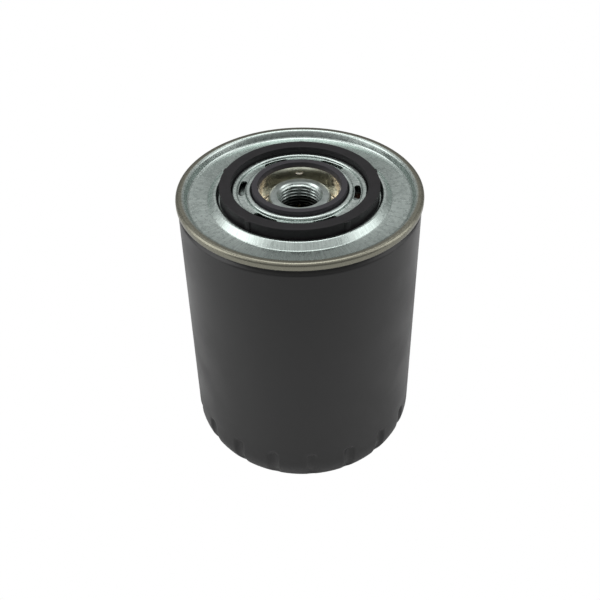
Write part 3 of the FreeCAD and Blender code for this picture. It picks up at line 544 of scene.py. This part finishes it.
finishes = {"black_paint": paintFinish("black_paint", paintLook),
            "bright_zinc": lidFinish("bright_zinc", lidLook)}
finishes.update({name: metalFinish(name, look) for name, look in metalLooks.items()})
finishes.update({name: softFinish(name, look) for name, look in softLooks.items()})
for row in frame["record"]["subparts"]:
    carried = frame["nodes"][row["node"]].data
    carried.materials.clear()
    carried.materials.append(finishes[row["material_slot"]])
print(f"finishes: {len(finishes)}")

buildCamera(studioView)
buildLights(studioLight)
buildWorld(studioAir)
buildFloor(floorLook)
bpy.context.scene.view_settings.view_transform = "Standard"

# the drawn can: recessed closed end, pressed grip flutes, neck and hook
seam = {
    "lidSheet": 0.7 * mm, "canSheet": 0.65 * mm, "gap": 0.05 * mm, "depth": 3.7 * mm, "lipRise": 0.5 * mm,
    "hookRound": 0.35 * mm, "hookClear": 1.1 * mm, "coverHookClear": 0.45 * mm,
}
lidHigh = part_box("seaming_lid")[1]
seamTop = lidHigh.z - seam["lipRise"]
seamRadius = lidHigh.x
hookRadius = seamRadius - seam["lidSheet"] - seam["gap"] - seam["canSheet"]
neckRadius = hookRadius - 2 * seam["gap"] - seam["lidSheet"]
hookTop = seamTop - seam["lidSheet"] - seam["gap"] - seam["canSheet"]

canForm = {
    "corner": 19.5 * mm, "recess": 27 * mm, "recessHeight": 2.5 * mm, "recessSlope": 3 * mm,
    "recessRound": 1.5 * mm, "neckDrop": 6.4 * mm, "neckSlope": 1.3 * mm, "neckRound": 1.4 * mm,
    "steps": 648,
}
flute = {
    "count": 18, "start": math.radians(13.5), "radius": 3.5 * mm, "depth": 1.35 * mm, "top": 23.6 * mm,
    "turn": math.radians(22), "rowsTo": 28 * mm, "rows": 10, "lip": 0.3 * mm,
}
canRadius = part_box("can")[1].x


def fluteWeight(place):
    # how deep the pressing tool sits at this spot, as a share of a flute's depth
    cornerOut, cornerUp = canRadius - canForm["corner"], canForm["corner"]
    toolOut = flute["radius"] - flute["depth"]
    spacing = fullTurn / flute["count"]
    angle = math.atan2(place.y, place.x) - flute["start"]
    angle -= round(angle / spacing) * spacing
    radius = math.hypot(place.x, place.y)
    aside, out = radius * math.sin(angle), radius * math.cos(angle)
    if place.z >= cornerUp:
        away = canRadius + toolOut - out
    else:
        down = math.atan2(cornerUp - place.z, out - cornerOut)
        path = (canForm["corner"] + toolOut) / math.cos(max(0, down - flute["turn"]))
        away = path - math.hypot(out - cornerOut, cornerUp - place.z)
    across = math.hypot(aside, max(0, place.z - flute["top"]))
    sunk = math.sqrt(max(0, flute["radius"] ** 2 - across ** 2)) - away
    pressed = (sunk + math.hypot(sunk, flute["lip"])) / 2 - flute["lip"] ** 2 / (4 * toolOut)
    return pressed / flute["depth"]


def buildCan():
    foot = canForm["recess"] + canForm["recessSlope"]
    neckLow = seamTop - canForm["neckDrop"]
    corners = [
        (0, canForm["recessHeight"]), (canForm["recess"], canForm["recessHeight"]), (foot, 0),
        (canRadius, 0), (canRadius, flute["rowsTo"]), (canRadius, neckLow),
        (neckRadius, neckLow + canForm["neckSlope"]), (neckRadius, hookTop), (hookRadius, hookTop),
        (hookRadius, seamTop - seam["depth"] + seam["hookClear"]),
    ]
    rounds = {1: canForm["recessRound"], 2: canForm["recessRound"], 3: canForm["corner"],
              5: canForm["neckRound"], 6: canForm["neckRound"], 7: seam["hookRound"], 8: seam["hookRound"]}
    piece = turnPiece("canShell", rounded(corners, rounds, rows={3: flute["rows"]}), canForm["steps"],
                      flip=True)
    group = weigh(piece, "flutes", fluteWeight)
    addModifier(piece, "DISPLACE", strength=-flute["depth"], mid_level=0, vertex_group=group)
    addModifier(piece, "SOLIDIFY", thickness=seam["canSheet"], offset=-1, use_even_offset=True)
    finishPiece(piece, "shell", "can", "black_paint")


# the zinc lid: slotted band, gasket groove, ridge, channel and rolled seam
lidForm = {
    "floorDrop": 3.65 * mm, "chuckTaper": 1.4 * mm, "chuckRound": 1.4 * mm, "seamRound": 1.5 * mm,
    "foldRound": 1.05 * mm, "slopeRun": 2.6 * mm, "ridgeDrop": 1 * mm, "ridgeWidth": 1.6 * mm,
    "ridgeRound": 0.8 * mm, "grooveLean": 0.4 * mm, "grooveRound": 0.5 * mm, "beadRise": 0.2 * mm,
    "beadWidth": 2.5 * mm, "beadRound": 0.8 * mm, "bandDrop": 1 * mm, "bandWidth": 3.5 * mm,
    "bandRound": 0.3 * mm, "lipWidth": 2.5 * mm, "lipRound": 1 * mm, "seatDrop": 1.2 * mm,
    "edgeGap": 0.25 * mm, "steps": 360,
}
inlet = {"count": 6, "start": math.radians(54), "span": math.radians(20), "width": 2.8 * mm, "rows": 12}
ring = {
    "width": 5 * mm, "inside": 0.3 * mm, "outside": 0.8 * mm, "round": 0.35 * mm, "lugs": 5,
    "lugStart": math.radians(15.5), "lugReach": 0.6 * mm, "lugHalf": math.radians(2.4), "steps": 480,
    "innerWidth": 2.65 * mm, "innerSide": 0.25 * mm, "sleeveGap": 0.1 * mm,
}
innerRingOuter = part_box("inner_gasket")[1].x
lipInner = innerRingOuter + ring["innerSide"]
lipOuter = lipInner + lidForm["lipWidth"]
beadInner = lipOuter + lidForm["bandWidth"]
grooveInner = beadInner + lidForm["beadWidth"]
ringInner = grooveInner + ring["inside"]
ringOuter = ringInner + ring["width"]
grooveOuter = ringOuter + ring["outside"]
ridgeInner = grooveOuter + lidForm["grooveLean"]
ridgeOuter = ridgeInner + lidForm["ridgeWidth"]
lidFloor = seamTop - lidForm["floorDrop"]
band = seamTop - lidForm["bandDrop"]
sleeveOuter = innerRingOuter - ring["innerWidth"] - ring["sleeveGap"]


def roundCutter(name, radius, place, height):
    clearSelection()
    bpy.ops.mesh.primitive_cylinder_add(vertices=cutterSides, radius=radius, depth=height, location=place)
    cutter = bpy.context.object
    cutter.name = name
    bpy.ops.object.transform_apply(location=True)
    return cutter


def selectOnly(piece, chosen):
    # in edit mode, select only the vertices that pass
    bpy.ops.mesh.select_all(action="DESELECT")
    bpy.ops.object.mode_set(mode="OBJECT")
    for vertex in piece.data.vertices:
        vertex.select = chosen(vertex)
    bpy.ops.object.mode_set(mode="EDIT")


def curvedCutter(name, circle, width, span, middle, height, rows):
    # a straight-sided bar is bent round the axis, its two ends rounded
    clearSelection()
    bpy.ops.mesh.primitive_cylinder_add(vertices=cutterSides, radius=width / 2, depth=height,
                                        rotation=(0, 0, math.pi / cutterSides))
    cutter = bpy.context.object
    cutter.name = name
    bpy.ops.object.transform_apply(rotation=True)
    bpy.ops.object.mode_set(mode="EDIT")
    for side in (1, -1):
        selectOnly(cutter, lambda vertex: vertex.co.y * side > 0)
        bpy.ops.transform.translate(value=(0, side * circle * span / 2, 0))
    for row in range(1, rows):
        level = circle * span * (row / rows - 0.5)
        bpy.ops.mesh.select_all(action="SELECT")
        bpy.ops.mesh.bisect(plane_co=(0, level, 0), plane_no=(0, 1, 0))
    bpy.ops.object.mode_set(mode="OBJECT")
    for vertex in cutter.data.vertices:
        # along the bar becomes an angle, across it a radius
        angle, radius = vertex.co.y / circle, circle + vertex.co.x
        vertex.co = (radius * math.cos(angle), radius * math.sin(angle), vertex.co.z + middle)
    return cutter


def cutRing(piece, cutter, count, start):
    # the cutter is copied round the axis and taken out of the piece
    clearSelection()
    cutter.select_set(True)
    bpy.context.view_layer.objects.active = cutter
    bpy.ops.object.mode_set(mode="EDIT")
    bpy.ops.mesh.select_all(action="SELECT")
    bpy.ops.mesh.spin(steps=count - 1, angle=fullTurn * (count - 1) / count, dupli=True,
                      center=(0, 0, 0), axis=(0, 0, 1))
    bpy.ops.mesh.select_all(action="SELECT")
    bpy.ops.mesh.normals_make_consistent(inside=False)
    bpy.ops.object.mode_set(mode="OBJECT")
    cutter.data.transform(Matrix.Rotation(start, 4, "Z"))
    addModifier(piece, "BOOLEAN", object=cutter, operation="DIFFERENCE", solver="MANIFOLD")
    bpy.data.objects.remove(cutter)


def buildLid():
    ridgeTop = seamTop - lidForm["ridgeDrop"]
    beadTop = seamTop + lidForm["beadRise"]
    seat = seamTop - lidForm["seatDrop"]
    chuckTop = neckRadius - seam["canSheet"] - seam["gap"] - seam["lidSheet"]
    corners = [
        (sleeveOuter + lidForm["edgeGap"], seat), (lipInner, seat), (lipInner, lidHigh.z),
        (lipOuter, lidHigh.z), (lipOuter, band), (beadInner, band), (beadInner, beadTop),
        (grooveInner, beadTop), (grooveInner, lidFloor), (grooveOuter, lidFloor),
        (ridgeInner, ridgeTop), (ridgeOuter, ridgeTop), (ridgeOuter + lidForm["slopeRun"], lidFloor),
        (chuckTop - lidForm["chuckTaper"], lidFloor), (chuckTop, seamTop), (seamRadius, seamTop),
        (seamRadius, seamTop - seam["depth"]), (neckRadius + seam["gap"], seamTop - seam["depth"]),
        (neckRadius + seam["gap"], hookTop - seam["coverHookClear"]),
    ]
    small, lip, bead = lidForm["bandRound"], lidForm["lipRound"], lidForm["beadRound"]
    groove, ridge, chuck = lidForm["grooveRound"], lidForm["ridgeRound"], lidForm["chuckRound"]
    fold = lidForm["foldRound"]
    sizes = [small, lip, lip, small, small, bead, bead, groove, groove, ridge, ridge, ridge, chuck, chuck,
             lidForm["seamRound"], fold, fold]
    points = rounded(corners, dict(enumerate(sizes, start=1)))
    piece = turnPiece("seamingLid", points, lidForm["steps"])
    addModifier(piece, "SOLIDIFY", thickness=seam["lidSheet"], offset=-1, use_even_offset=True)
    cutter = curvedCutter("inletCutter", (lipOuter + beadInner) / 2, inlet["width"], inlet["span"],
                          band - seam["lidSheet"] / 2, 3 * seam["lidSheet"], inlet["rows"])
    cutRing(piece, cutter, inlet["count"], inlet["start"])
    finishPiece(piece, "shell", "seaming_lid", "bright_zinc")


# the two gaskets
def lugWeight(place):
    spacing = fullTurn / ring["lugs"]
    angle = math.atan2(place.y, place.x) - ring["lugStart"]
    angle = abs(angle - round(angle / spacing) * spacing)
    if math.hypot(place.x, place.y) < ringOuter - hair or angle > ring["lugHalf"]:
        return 0
    share = angle / ring["lugHalf"]
    return math.sqrt(1 - share ** 4)


def buildGaskets():
    low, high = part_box("outer_gasket")
    corners = [(ringInner, low.z), (ringOuter, low.z), (ringOuter, high.z), (ringInner, high.z)]
    points = rounded(corners, {i: ring["round"] for i in range(4)}, closed=True)
    outer = turnPiece("outerGasket", points, ring["steps"])
    group = weigh(outer, "lugs", lugWeight)
    addModifier(outer, "DISPLACE", strength=ring["lugReach"], mid_level=0, vertex_group=group)
    finishPiece(outer, "shell", "outer_gasket", "gasket_rubber")
    low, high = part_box("inner_gasket")
    inside = innerRingOuter - ring["innerWidth"]
    corners = [(inside, low.z), (innerRingOuter, low.z), (innerRingOuter, high.z), (inside, high.z)]
    points = rounded(corners, {i: ring["round"] for i in range(4)}, closed=True)
    inner = turnPiece("innerGasket", points, lidForm["steps"])
    finishPiece(inner, "shell", "inner_gasket", "gasket_rubber")


# the base plate with its threaded hub
plateForm = {
    "gauge": 3.5 * mm, "round": 1 * mm, "dishSide": 0.7 * mm, "dishRound": 2.4 * mm, "dishDrop": 11.5 * mm,
    "hub": 13.75 * mm, "hubDrop": 3 * mm, "hubRound": 1.3 * mm, "bore": 8.72 * mm, "mouth": 1.4 * mm,
    "steps": 180,
}
thread = {"pitch": 1.5875 * mm, "depth": 0.805 * mm, "rootHalf": 0.125 * mm, "flank": math.radians(30),
          "rowsPerTurn": 12}
port = {"count": 12, "radius": 2.5 * mm, "land": 1.2 * mm}
outlet = {"count": 4, "span": math.radians(44), "width": 1.9 * mm, "gap": 0.35 * mm, "rows": 10}


def windThread(piece, under, top):
    # the bore's rows move out to the vee of a right-hand helix, and open into a chamfer at both mouths
    bore, pitch = plateForm["bore"], thread["pitch"]
    for vertex in piece.data.vertices:
        radius = math.hypot(vertex.co.x, vertex.co.y)
        if radius > bore + hair:
            continue
        turn = math.atan2(vertex.co.y, vertex.co.x) / fullTurn
        phase = (vertex.co.z / pitch - turn) % 1
        away = abs(phase - 0.5) * pitch
        cut = thread["depth"] - (away - thread["rootHalf"]) / math.tan(thread["flank"])
        cut = min(max(cut, 0), thread["depth"])
        edge = min(vertex.co.z - under, top - vertex.co.z)
        wide = max(bore + cut, bore + plateForm["mouth"] - edge) / radius
        vertex.co.x *= wide
        vertex.co.y *= wide


def buildPlate():
    plateTop, plateRadius = lidFloor - seam["lidSheet"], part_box("tapping_plate")[1].x
    dishInner = sleeveOuter + plateForm["dishSide"]
    dishOuter = dishInner + plateForm["gauge"]
    floor = seamTop - plateForm["dishDrop"]
    under, hubTop = floor - plateForm["gauge"], seamTop - plateForm["hubDrop"]
    plateUnder = plateTop - plateForm["gauge"]
    corners = [
        (plateRadius, plateTop), (plateRadius, plateUnder), (dishOuter, plateUnder), (dishOuter, under),
        (plateForm["bore"], under), (plateForm["bore"], hubTop), (plateForm["hub"], hubTop),
        (plateForm["hub"], floor), (dishInner, floor), (dishInner, plateTop),
    ]
    rounds = {2: plateForm["round"], 3: plateForm["dishRound"], 6: plateForm["hubRound"],
              7: plateForm["round"], 8: plateForm["round"], 9: plateForm["round"]}
    rows = {4: math.ceil((hubTop - under) / thread["pitch"] * thread["rowsPerTurn"])}
    points = rounded(corners, rounds, closed=True, rows=rows)
    piece = turnPiece("basePlate", points, plateForm["steps"])
    windThread(piece, under, hubTop)
    height = 3 * plateForm["gauge"]
    circle = dishOuter + port["land"] + port["radius"]
    middle = plateTop - plateForm["gauge"] / 2
    cutRing(piece, roundCutter("portCutter", port["radius"], (circle, 0, middle), height), port["count"], 0)
    circle = plateForm["hub"] + outlet["gap"] + outlet["width"] / 2
    cutter = curvedCutter("outletCutter", circle, outlet["width"], outlet["span"],
                          under + plateForm["gauge"] / 2, 1.5 * plateForm["gauge"], outlet["rows"])
    cutRing(piece, cutter, outlet["count"], 0)
    finishPiece(piece, "shell", "tapping_plate", "plate_zinc")


# the springs and the rubber valve
springForm = {
    "reliefSpring": {"node": "valve_spring", "slot": "spring_steel", "body": "element", "wire": 1.2 * mm,
                     "turns": 5, "joint": "relief_lift", "fromTop": True, "travel": 5 * mm},
    "supportSpring": {"node": "support_spring", "slot": "spring_steel", "body": "shell",
                      "wire": 2.8 * mm, "turns": 3, "joint": "element_float", "fromTop": False,
                      "travel": 2.5 * mm},
}
wireSides, turnSteps = 16, 72


def flatten(piece):
    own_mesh(piece)


def buildSpring(name, form):
    low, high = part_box(form["node"])
    wire = form["wire"]
    coil = (high.x - low.x) / 2 - wire / 2
    clearSelection()
    bpy.ops.mesh.primitive_circle_add(vertices=wireSides, radius=wire / 2, rotation=(math.pi / 2, 0, 0),
                                      location=(coil, 0, low.z + wire / 2))
    piece = bpy.context.object
    piece.name = name
    bpy.ops.object.transform_apply(location=True, rotation=True)
    pitch = (high.z - low.z - wire) / form["turns"]
    addModifier(piece, "SCREW", axis="Z", angle=fullTurn, screw_offset=pitch, iterations=form["turns"],
                steps=turnSteps, render_steps=turnSteps)
    bpy.ops.object.mode_set(mode="EDIT")
    bpy.ops.mesh.select_all(action="SELECT")
    bpy.ops.mesh.remove_doubles(threshold=weldGap)
    bpy.ops.mesh.fill_holes(sides=wireSides)
    bpy.ops.mesh.select_all(action="SELECT")
    bpy.ops.mesh.normals_make_consistent(inside=False)
    bpy.ops.object.mode_set(mode="OBJECT")
    finishPiece(piece, form["body"], form["node"], form["slot"])
    flatten(piece)


valveForm = {
    "neckWall": 1.6 * mm, "skirtWall": 1.2 * mm, "rootDrop": 1.45 * mm, "rootWidth": 1 * mm,
    "lipThick": 0.9 * mm, "lipLand": 1.8 * mm, "bevel": 1 * mm, "round": 0.3 * mm, "gap": 0.1 * mm,
    "joint": "drain_lip_open", "fromTop": False, "travel": 2 * mm, "steps": 240,
}


def buildDrainValve():
    low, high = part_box("anti_drain_valve")
    neck = sleeveOuter + plateForm["dishSide"] + plateForm["gauge"] + valveForm["gap"]
    neckOuter = neck + valveForm["neckWall"]
    root = high.z - valveForm["rootDrop"]
    corners = [
        (neck, low.z), (neckOuter, low.z), (neckOuter, root - valveForm["skirtWall"]),
        (high.x - valveForm["bevel"], high.z - valveForm["lipThick"]), (high.x, high.z),
        (high.x - valveForm["lipLand"], high.z), (neckOuter + valveForm["rootWidth"], root), (neck, root),
    ]
    rounds = {0: valveForm["round"], 1: valveForm["round"], 2: valveForm["round"], 6: valveForm["round"]}
    piece = turnPiece("drainValve", rounded(corners, rounds, closed=True), valveForm["steps"])
    finishPiece(piece, "shell", "anti_drain_valve", "valve_rubber")
    flatten(piece)


buildCan()
buildLid()
buildGaskets()
buildPlate()
for name, form in springForm.items():
    buildSpring(name, form)
buildDrainValve()
